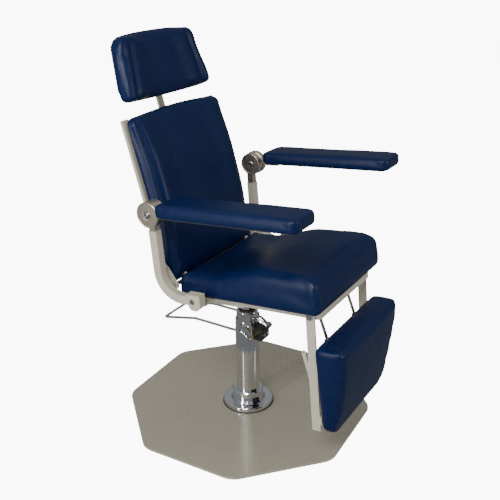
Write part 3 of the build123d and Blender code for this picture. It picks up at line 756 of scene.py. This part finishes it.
@dataclass
class BackPad:
    """The back cushion: a lumbar crown with a raised wing along each side."""

    half_width: float = 209.0
    low: float = -25.0
    high: float = 453.0
    lean_gap: float = -0.3
    wing_seam: float = 188.0

    def thickness(self, x: float, y: float) -> float:
        """Return the pad's thickness at a place on its board."""
        lumbar = 17.0 * smooth(y, -40, 200) * (1 - smooth(y, 290, 470))
        return 28.0 + lumbar

    def relief(self, x: float, y: float) -> float:
        """Return the wings, the sewn channels and the flat middle."""
        fade = smooth(y, 40, 160)
        wing = 7.0 * smooth(abs(x), 88, 172)
        return fade * (wing + groove(abs(x) - self.wing_seam, 6.0, 7.0)) - 2.0

    def build(self, wardrobe: Wardrobe) -> None:
        """Build the back cushion."""
        corners = [
            (-self.half_width, self.low, 12.0),
            (self.half_width, self.low, 12.0),
            (self.half_width, self.high, 26.0),
            (0.0, self.high + 9, 1800.0),
            (-self.half_width, self.high, 26.0),
        ]
        placement = Placement(back_point(0, self.lean_gap, 0), BACK_UP, BEHIND * -1)
        Cushion(
            "back_cover", "back_cushion", "back", placement, corners, self.thickness, self.relief,
            edge_round=10.0, swell=6.0, calming=6,
        ).build(wardrobe)


@dataclass
class HeadPad:
    """The headrest cushion: flared towards its foot, with a sewn wing at each side."""

    low_half: float = 192.0
    high_half: float = 166.0
    low: float = 485.0
    high: float = 664.0
    board_face: float = 12.7
    seam_low: float = 154.0
    seam_high: float = 122.0

    def thickness(self, x: float, y: float) -> float:
        """Return the pad's thickness at a place on its board."""
        return 36.0 + 3.0 * smooth(y, self.high, self.low)

    def relief(self, x: float, y: float) -> float:
        """Return the hollow for the head, the wings and their seams."""
        rise = (y - self.low) / (self.high - self.low)
        seam = self.seam_low + (self.seam_high - self.seam_low) * rise
        wing = 9.0 * smooth(abs(x), seam - 85, seam - 8)
        roll = (5.0 - 3.0 * rise) * smooth(abs(x), seam + 2, seam + 16)
        return wing + roll + groove(abs(x) - seam, 5.0, 10.0) - 4.0

    def build(self, wardrobe: Wardrobe) -> None:
        """Build the headrest cushion."""
        corners = [
            (-self.low_half, self.low, 20.0),
            (self.low_half, self.low, 20.0),
            (self.low_half - 4, self.low + 50, 60.0),
            (self.high_half, self.high, 34.0),
            (0.0, self.high + 9, 1500.0),
            (-self.high_half, self.high, 34.0),
            (-self.low_half + 4, self.low + 50, 60.0),
        ]
        placement = Placement(back_point(0, self.board_face, 0), BACK_UP, BEHIND * -1)
        Cushion(
            "headrest_cover", "headrest_cushion", "headrest", placement, corners, self.thickness, self.relief,
            edge_round=12.0, swell=5.0, voxel=5.0,
        ).build(wardrobe)


@dataclass
class CalfPad:
    """The calf cushion: a wedge, thick at the top and thin at the foot."""

    low: float = 74.0
    high: float = 355.0
    low_half: float = 172.0
    high_half: float = 197.0
    board_face: float = -320.2
    top_depth: float = 82.0
    taper: float = 50.0

    def thickness(self, x: float, y: float) -> float:
        """Return the pad's thickness at a place on its board."""
        drop = max(0.0, (self.high - y) / (self.high - self.low))
        return self.top_depth - self.taper * drop**1.7

    def relief(self, x: float, y: float) -> float:
        """Return the seam under the top edge of the face."""
        return groove(y - (self.high - 12), 2.0, 4.0) + 1.5 * (1 - (x / self.high_half) ** 2)

    def build(self, wardrobe: Wardrobe) -> None:
        """Build the calf cushion."""
        corners = [
            (-self.low_half, self.low, 46.0),
            (self.low_half, self.low, 46.0),
            (self.high_half, self.high, 14.0),
            (-self.high_half, self.high, 14.0),
        ]
        placement = Placement(seat_point(0, self.board_face, 0), SEAT_UP, REARWARD * -1)
        Cushion(
            "calf_cover", "calf_cushion", "legrest", placement, corners, self.thickness, self.relief,
            edge_round=8.0, swell=3.0, voxel=5.0, pressure=2.5, calming=4,
        ).build(wardrobe)


@dataclass
class ArmPad:
    """One armrest pad."""

    side_name: str
    side: int
    raised: float
    middle: float = 267.5
    half_width: float = 54.5
    front: float = -366.0
    rear: float = 52.0
    underside: float = 710.0
    height: float = 37.0

    def thickness(self, x: float, y: float) -> float:
        """Return the pad's thickness, which is even."""
        return self.height + 1.5 * (1 - (x / self.half_width) ** 2)

    def relief(self, x: float, y: float) -> float:
        """Return the seams across the pad's two ends."""
        return groove(y - (self.front + 9), 0.8, 3.0) + groove(y - (self.rear - 9), 0.8, 3.0)

    def build(self, wardrobe: Wardrobe) -> None:
        """Build the arm pad."""
        corners = [
            (-self.half_width, self.front, 17.0),
            (self.half_width, self.front, 17.0),
            (self.half_width, self.rear, 17.0),
            (-self.half_width, self.rear, 17.0),
        ]
        middle = seat_point(self.side * self.middle, 0, self.underside + self.raised)
        name = self.side_name
        Cushion(
            f"arm_cover_{name}", f"arm_pad_{name}", f"arm_{name}", Placement(middle, REARWARD, SEAT_UP), corners,
            self.thickness, self.relief, edge_round=7.0, swell=2.5, voxel=4.0, work_height=40.0, pressure=2.5,
            calming=3,
        ).build(wardrobe)


# ---- small hard pieces ----
def select_faces(piece: bpy.types.Object, rule: Callable[[bpy.types.MeshPolygon], bool]) -> None:
    """Enter edit mode with only the faces selected that a rule picks.

    Args:
        piece: The piece to edit.
        rule: Says which faces to select.
    """
    activate(piece)
    bpy.ops.object.mode_set(mode="EDIT")
    bpy.ops.mesh.select_mode(type="FACE")
    bpy.ops.mesh.select_all(action="DESELECT")
    bpy.ops.object.mode_set(mode="OBJECT")
    for face in piece.data.polygons:
        face.select = rule(face)
    bpy.ops.object.mode_set(mode="EDIT")


def leave_edit(piece: bpy.types.Object, angle: float = 32) -> None:
    """Leave edit mode and smooth the piece across edges up to an angle in degrees."""
    bpy.ops.object.mode_set(mode="OBJECT")
    shade(piece, angle)


def round_blank(name: str, sides: int, radius: float, depth: float) -> bpy.types.Object:
    """Turn a round or many-sided blank that stands on its working place.

    Args:
        name: The piece's name.
        sides: How many sides it has.
        radius: Its radius in mm.
        depth: Its height in mm.

    Returns:
        The blank.
    """
    bpy.ops.object.select_all(action="DESELECT")
    bpy.ops.mesh.primitive_cylinder_add(
        vertices=sides, radius=radius * MM, depth=depth * MM, location=(0, 0, depth * MM / 2)
    )
    blank = bpy.context.active_object
    blank.name = name
    blank.data.name = name
    blank.data.transform(blank.matrix_basis)
    blank.matrix_basis = Matrix.Identity(4)
    return blank


def cut(piece: bpy.types.Object, tool: bpy.types.Object) -> None:
    """Cut a tool's shape out of a piece and throw the tool away."""
    boolean = piece.modifiers.new("cut", "BOOLEAN")
    boolean.operation = "DIFFERENCE"
    boolean.object = tool
    apply_modifier(piece, boolean)
    bpy.data.objects.remove(tool)


def soften(piece: bpy.types.Object, width: float) -> None:
    """Break a piece's sharp edges by a width in mm."""
    bevel = piece.modifiers.new("broken_edge", "BEVEL")
    bevel.width = width * MM
    bevel.segments = 2
    bevel.limit_method = "ANGLE"
    apply_modifier(piece, bevel)
    shade(piece, 32)


def socket_screw(name: str, radius: float, height: float) -> bpy.types.Object:
    """Make a screw head with a six-sided socket.

    Args:
        name: The piece's name.
        radius: The head's radius in mm.
        height: The head's height in mm.

    Returns:
        The screw head, standing on its working place.
    """
    head = round_blank(name, 40, radius, height)
    socket = round_blank("socket_tool", 6, radius * 0.52, height)
    socket.data.transform(Matrix.Translation((0, 0, height * MM * 0.4)))
    cut(head, socket)
    soften(head, 0.5)
    return head


def dome_screw(name: str, radius: float) -> bpy.types.Object:
    """Make a low round screw head with a cross slot.

    Args:
        name: The piece's name.
        radius: The head's radius in mm.

    Returns:
        The screw head, standing on its working place.
    """
    head = round_blank(name, 28, radius, radius * 0.35)
    select_faces(head, lambda face: face.normal.z > 0.9)
    bpy.ops.mesh.inset(thickness=radius * 0.3 * MM, depth=radius * 0.2 * MM)
    bpy.ops.mesh.inset(thickness=radius * 0.3 * MM, depth=radius * 0.08 * MM)
    leave_edit(head, 50)
    for turn in (0.0, math.radians(90)):
        bpy.ops.object.select_all(action="DESELECT")
        bpy.ops.mesh.primitive_cube_add(size=1, location=(0, 0, radius * 0.62 * MM), rotation=(0, 0, turn))
        slot_tool = bpy.context.active_object
        slot_tool.scale = (radius * MM, radius * 0.22 * MM, radius * 0.5 * MM)
        bpy.context.view_layer.update()
        slot_tool.data.transform(slot_tool.matrix_basis)
        slot_tool.matrix_basis = Matrix.Identity(4)
        cut(head, slot_tool)
    shade(head, 50)
    return head


def face_ring(name: str, outer: float, inner: float, height: float) -> bpy.types.Object:
    """Make a dished ring with a raised rim and an open middle.

    Args:
        name: The piece's name.
        outer: The rim's radius in mm.
        inner: The opening's radius in mm.
        height: The rim's height in mm.

    Returns:
        The ring, standing on its working place.
    """
    ring = round_blank(name, 72, outer, height)
    select_faces(ring, lambda face: face.normal.z > 0.9)
    bpy.ops.mesh.inset(thickness=2.2 * MM)
    bpy.ops.mesh.inset(thickness=0.8 * MM, depth=-height * 0.55 * MM)
    bpy.ops.mesh.inset(thickness=(outer - 3.0 - inner) * 0.55 * MM, depth=height * 0.2 * MM)
    leave_edit(ring)
    cut(ring, round_blank("opening_tool", 48, inner, height * 4))
    soften(ring, 0.3)
    return ring


def tube_plug(name: str, width: float, height: float) -> bpy.types.Object:
    """Make the moulded plug that closes a tube's end.

    Args:
        name: The piece's name.
        width: The plug's width in mm.
        height: The plug's height in mm.

    Returns:
        The plug, standing on its working place.
    """
    bpy.ops.object.select_all(action="DESELECT")
    bpy.ops.mesh.primitive_cube_add(size=1, location=(0, 0, 0.5))
    plug = bpy.context.active_object
    plug.name = name
    plug.data.name = name
    plug.data.transform(plug.matrix_basis)
    plug.matrix_basis = Matrix.Identity(4)
    plug.data.transform(Matrix.Diagonal((width * MM, height * MM, 1.6 * MM, 1)))
    select_faces(plug, lambda face: face.normal.z > 0.9)
    bpy.ops.mesh.inset(thickness=3 * MM, depth=0.7 * MM)
    bpy.ops.mesh.inset(thickness=2 * MM, depth=-0.8 * MM)
    leave_edit(plug)
    soften(plug, 0.5)
    return plug


class Fitting:
    """Puts small hard pieces on the frame."""

    def __init__(self, wardrobe: Wardrobe) -> None:
        """Keep the materials at hand."""
        self.wardrobe = wardrobe

    def fix(self, piece: bpy.types.Object, place: Placement, body: str, slot: str) -> None:
        """Put a piece in place, dress it and tie it to a body.

        Args:
            piece: The finished piece on its working place.
            place: Where it goes.
            body: The body that carries it.
            slot: The name of its finish.
        """
        settle(piece, place.matrix())
        self.wardrobe.dress(piece, slot)
        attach(piece, body)
        log.info("%s: %d faces on %s", piece.name, len(piece.data.polygons), body)

    def row(self, pattern: bpy.types.Object, places: list[Placement], body: str, slot: str) -> None:
        """Fix copies of one pattern piece at several places and throw the pattern away.

        Args:
            pattern: The piece to copy.
            places: Where the copies go.
            body: The body that carries them.
            slot: The name of their finish.
        """
        for number, place in enumerate(places, start=1):
            copy = pattern.copy()
            copy.data = pattern.data.copy()
            copy.name = f"{pattern.name}_{number}"
            bpy.context.scene.collection.objects.link(copy)
            self.fix(copy, place, body, slot)
        bpy.data.objects.remove(pattern)


@dataclass
class ArmHubs:
    """The round hinges of the armrests: dished faces, a socket screw and a nut."""

    rearward: float = 106.5
    up: float = 701.7
    outer_face: float = 277.7
    bolt_face: float = 281.1
    inner_face: float = 238.2

    def build(self, fitting: Fitting) -> None:
        """Build the hub pieces of both arms."""
        for name, side, raised in (("right", -1, 0.0), ("left", 1, LEFT_ARM_RAISED)):
            out = ACROSS * side
            height = self.up + raised

            def hub(across: float, way: Vector) -> Placement:
                """Return a place on the hinge's axis that faces a way."""
                return Placement(seat_point(side * across, self.rearward, height), SEAT_UP, way)

            fitting.fix(face_ring(f"hub_face_{name}", 34.6, 9.8, 1.8), hub(self.outer_face, out), f"arm_{name}", "nickel")
            fitting.fix(
                socket_screw(f"hub_screw_{name}", 6.4, 3.2), hub(self.bolt_face, out), f"arm_slider_{name}",
                "fastener_steel",
            )
            fitting.fix(
                face_ring(f"hub_back_{name}", 31.5, 9.0, 1.4), hub(self.inner_face, -out), f"arm_slider_{name}",
                "nickel",
            )
            fitting.fix(
                socket_screw(f"hub_nut_{name}", 7.6, 4.0), hub(self.inner_face, -out), f"arm_slider_{name}",
                "fastener_steel",
            )


@dataclass
class TubeEnds:
    """Moulded plugs in the open ends of the frame's tubes."""

    rail_middle: float = 147.3
    rail_up: float = 434.7
    rail_rear: float = 112.0
    tube: float = 25.0
    bar_end: float = 190.0
    bar_behind: float = 15.85
    bar_depth: float = 12.4
    bar_heights: tuple[float, ...] = (70.0, 250.0, 425.0)

    def build(self, fitting: Fitting) -> None:
        """Build the plugs of the seat rails and of the back's cross bars."""
        rails = [
            Placement(seat_point(side * self.rail_middle, self.rail_rear, self.rail_up), SEAT_UP, REARWARD)
            for side in (-1, 1)
        ]
        fitting.row(tube_plug("rail_plug", self.tube, self.tube), rails, "seat", "rubber")
        bars = [
            Placement(back_point(side * self.bar_end, self.bar_behind, along), BACK_UP, ACROSS * side)
            for side in (-1, 1)
            for along in self.bar_heights
        ]
        fitting.row(tube_plug("bar_plug", self.bar_depth, self.tube), bars, "back", "rubber")


@dataclass
class BoardScrews:
    """The round-headed screws that hold the boards to the bars."""

    bar_middle: float = 198.7
    bar_face: float = 9.5
    strap_face: float = -313.7

    def build(self, fitting: Fitting) -> None:
        """Build the screws of the back's side bars and of the legrest's straps."""
        back = [
            Placement(back_point(side * self.bar_middle, self.bar_face, along), BACK_UP, BEHIND)
            for side in (-1, 1)
            for along in (115, 180, 320, 385)
        ]
        fitting.row(dome_screw("back_screw", 5.0), back, "back", "fastener_steel")
        calf = [
            Placement(seat_point(across, self.strap_face, up), SEAT_UP, REARWARD)
            for across in (-125, 125)
            for up in (120, 285)
        ]
        fitting.row(dome_screw("calf_screw", 4.5), calf, "legrest", "fastener_steel")


@dataclass
class PumpTrim:
    """The seal round the ram and the screws of the valve block."""

    head_top: float = 331.0
    ram: float = 22.0
    block_front: float = -66.0
    block_middle: float = 262.0

    def build(self, fitting: Fitting) -> None:
        """Build the ram's wiper seal and the valve block's two plugs."""
        middle = Vector((0, 0, self.head_top * MM))
        seal = face_ring("ram_seal", 26.5, self.ram + 0.3, 3.0)
        fitting.fix(seal, Placement(middle, Vector((0, 1, 0)), Vector((0, 0, 1))), "base", "rubber")
        plugs = [
            Placement(Vector((across, self.block_front, self.block_middle)) * MM, Vector((0, 0, 1)), Vector((0, -1, 0)))
            for across in (-9, 9)
        ]
        fitting.row(socket_screw("block_plug", 5.2, 2.4), plugs, "base", "fastener_steel")


# ---- room and light ----
@dataclass
class Studio:
    """A pale floor, soft lights and the camera."""

    lens: float = 53.0
    place: tuple[float, float, float] = (-1.6816, -1.0666, 1.3485)
    azimuth: float = -58.20
    down: float = 22.58
    roll: float = -0.48
    shift: tuple[float, float] = (-0.0067, 0.0007)
    fill: float = 0.72
    floor_lift: float = 9.0
    gloss_room: tuple[tuple[float, float], ...] = ((0.0, 0.1), (0.32, 0.24), (0.5, 0.15), (0.66, 0.24), (1.0, 0.5))

    def camera(self) -> None:
        """Place the camera by its azimuth, its look downwards and its slight roll."""
        turn, pitch, roll = (math.radians(v) for v in (self.azimuth, self.down, self.roll))
        ahead = Vector((-math.sin(turn) * math.cos(pitch), math.cos(turn) * math.cos(pitch), -math.sin(pitch)))
        right = Vector((math.cos(turn), math.sin(turn), 0))
        up = right.cross(ahead)
        rolled_right = right * math.cos(roll) + up * math.sin(roll)
        rolled_up = up * math.cos(roll) - right * math.sin(roll)
        data = bpy.data.cameras.new("camera")
        data.lens = self.lens
        data.sensor_width = 36
        data.shift_x, data.shift_y = self.shift
        camera = bpy.data.objects.new("camera", data)
        turned = Matrix((rolled_right, rolled_up, -ahead)).transposed().to_4x4()
        turned.translation = Vector(self.place)
        camera.matrix_world = turned
        bpy.context.scene.collection.objects.link(camera)
        bpy.context.scene.camera = camera

    @staticmethod
    def soft_light(name: str, place: Vector, aim: Vector, size: tuple[float, float], power: float) -> None:
        """Hang a rectangular soft light.

        Args:
            name: The light's name.
            place: Where it hangs.
            aim: What it points at.
            size: Its width and height.
            power: Its power in watts.
        """
        data = bpy.data.lights.new(name, "AREA")
        data.shape = "RECTANGLE"
        data.size, data.size_y = size
        data.energy = power
        light = bpy.data.objects.new(name, data)
        light.location = place
        light.rotation_euler = (aim - place).to_track_quat("-Z", "Y").to_euler()
        bpy.context.scene.collection.objects.link(light)

    def floor(self) -> None:
        """Lay a wide pale floor that looks nearly white to the eye."""
        bpy.ops.object.select_all(action="DESELECT")
        bpy.ops.mesh.primitive_plane_add(size=60, location=(0, 0, -0.0005))
        floor = bpy.context.active_object
        floor.name = "floor"
        material = bpy.data.materials.new("pale_floor")
        material.use_nodes = True
        tree = material.node_tree
        shader = tree.nodes["Principled BSDF"]
        shader.inputs["Base Color"].default_value = (0.9, 0.9, 0.9, 1)
        shader.inputs["Roughness"].default_value = 0.8
        shader.inputs["Specular IOR Level"].default_value = 0.1
        shader.inputs["Emission Color"].default_value = (1, 1, 1, 1)
        ray = tree.nodes.new("ShaderNodeLightPath")
        lift = tree.nodes.new("ShaderNodeMath")
        lift.operation = "MULTIPLY"
        lift.inputs[1].default_value = self.floor_lift
        tree.links.new(ray.outputs["Is Camera Ray"], lift.inputs[0])
        tree.links.new(lift.outputs["Value"], shader.inputs["Emission Strength"])
        floor.data.materials.append(material)
        floor.visible_glossy = False

    def world(self) -> None:
        """Fill the room with even light, and let gloss see a darker room that brightens upwards."""
        world = bpy.data.worlds.new("room")
        bpy.context.scene.world = world
        world.use_nodes = True
        tree = world.node_tree
        even = tree.nodes["Background"]
        even.inputs["Color"].default_value = (1, 1, 1, 1)
        even.inputs["Strength"].default_value = self.fill
        place = tree.nodes.new("ShaderNodeTexCoord")
        split = tree.nodes.new("ShaderNodeSeparateXYZ")
        tree.links.new(place.outputs["Generated"], split.inputs["Vector"])
        height = tree.nodes.new("ShaderNodeMapRange")
        height.inputs["From Min"].default_value = -1.0
        tree.links.new(split.outputs["Z"], height.inputs["Value"])
        rise = tree.nodes.new("ShaderNodeValToRGB")
        stops = rise.color_ramp.elements
        stops[0].position, stops[1].position = self.gloss_room[0][0], self.gloss_room[-1][0]
        for position, _ in self.gloss_room[1:-1]:
            stops.new(position)
        for stop, (_, grey) in zip(stops, self.gloss_room):
            stop.color = (grey, grey, grey, 1)
        tree.links.new(height.outputs["Result"], rise.inputs["Fac"])
        dim = tree.nodes.new("ShaderNodeBackground")
        dim.inputs["Color"].default_value = (0.93, 0.97, 1.0, 1)
        tree.links.new(rise.outputs["Color"], dim.inputs["Strength"])
        ray = tree.nodes.new("ShaderNodeLightPath")
        mix = tree.nodes.new("ShaderNodeMixShader")
        tree.links.new(ray.outputs["Is Glossy Ray"], mix.inputs["Fac"])
        tree.links.new(even.outputs["Background"], mix.inputs[1])
        tree.links.new(dim.outputs["Background"], mix.inputs[2])
        tree.links.new(mix.outputs["Shader"], tree.nodes["World Output"].inputs["Surface"])

    def build(self) -> None:
        """Set up the whole studio."""
        self.camera()
        self.floor()
        self.world()
        chest = Vector((0, 0, 0.6))
        self.soft_light("side_strip", Vector((-2.6, 0.52, 1.25)), chest, (0.3, 1.9), 42)
        self.soft_light("key", Vector((-2.3, -0.6, 2.7)), chest, (1.1, 1.1), 80)
        self.soft_light("front_fill", Vector((0.9, -3.0, 1.5)), chest, (1.0, 1.4), 26)


def dress_frame(frame: dict, wardrobe: Wardrobe) -> None:
    """Give every piece of the frame the finish that its record names.

    Args:
        frame: The loaded frame.
        wardrobe: The chair's materials.
    """
    for entry in frame["record"]["subparts"]:
        node = frame["nodes"][entry["node"]]
        wardrobe.dress(node, entry["material_slot"])
        shade(node, 32)


def main() -> None:
    """Build the chair's looks piece by piece."""
    logging.basicConfig(level=logging.INFO, format="%(message)s")
    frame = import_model()
    bpy.ops.object.select_all(action="DESELECT")
    wardrobe = Wardrobe()
    dress_frame(frame, wardrobe)
    SeatPad().build(wardrobe)
    BackPad().build(wardrobe)
    HeadPad().build(wardrobe)
    CalfPad().build(wardrobe)
    ArmPad("right", -1, 0.0).build(wardrobe)
    ArmPad("left", 1, LEFT_ARM_RAISED).build(wardrobe)
    fitting = Fitting(wardrobe)
    for group in (ArmHubs(), TubeEnds(), BoardScrews(), PumpTrim()):
        group.build(fitting)
    Studio().build()


if __name__ == "__main__":
    main()
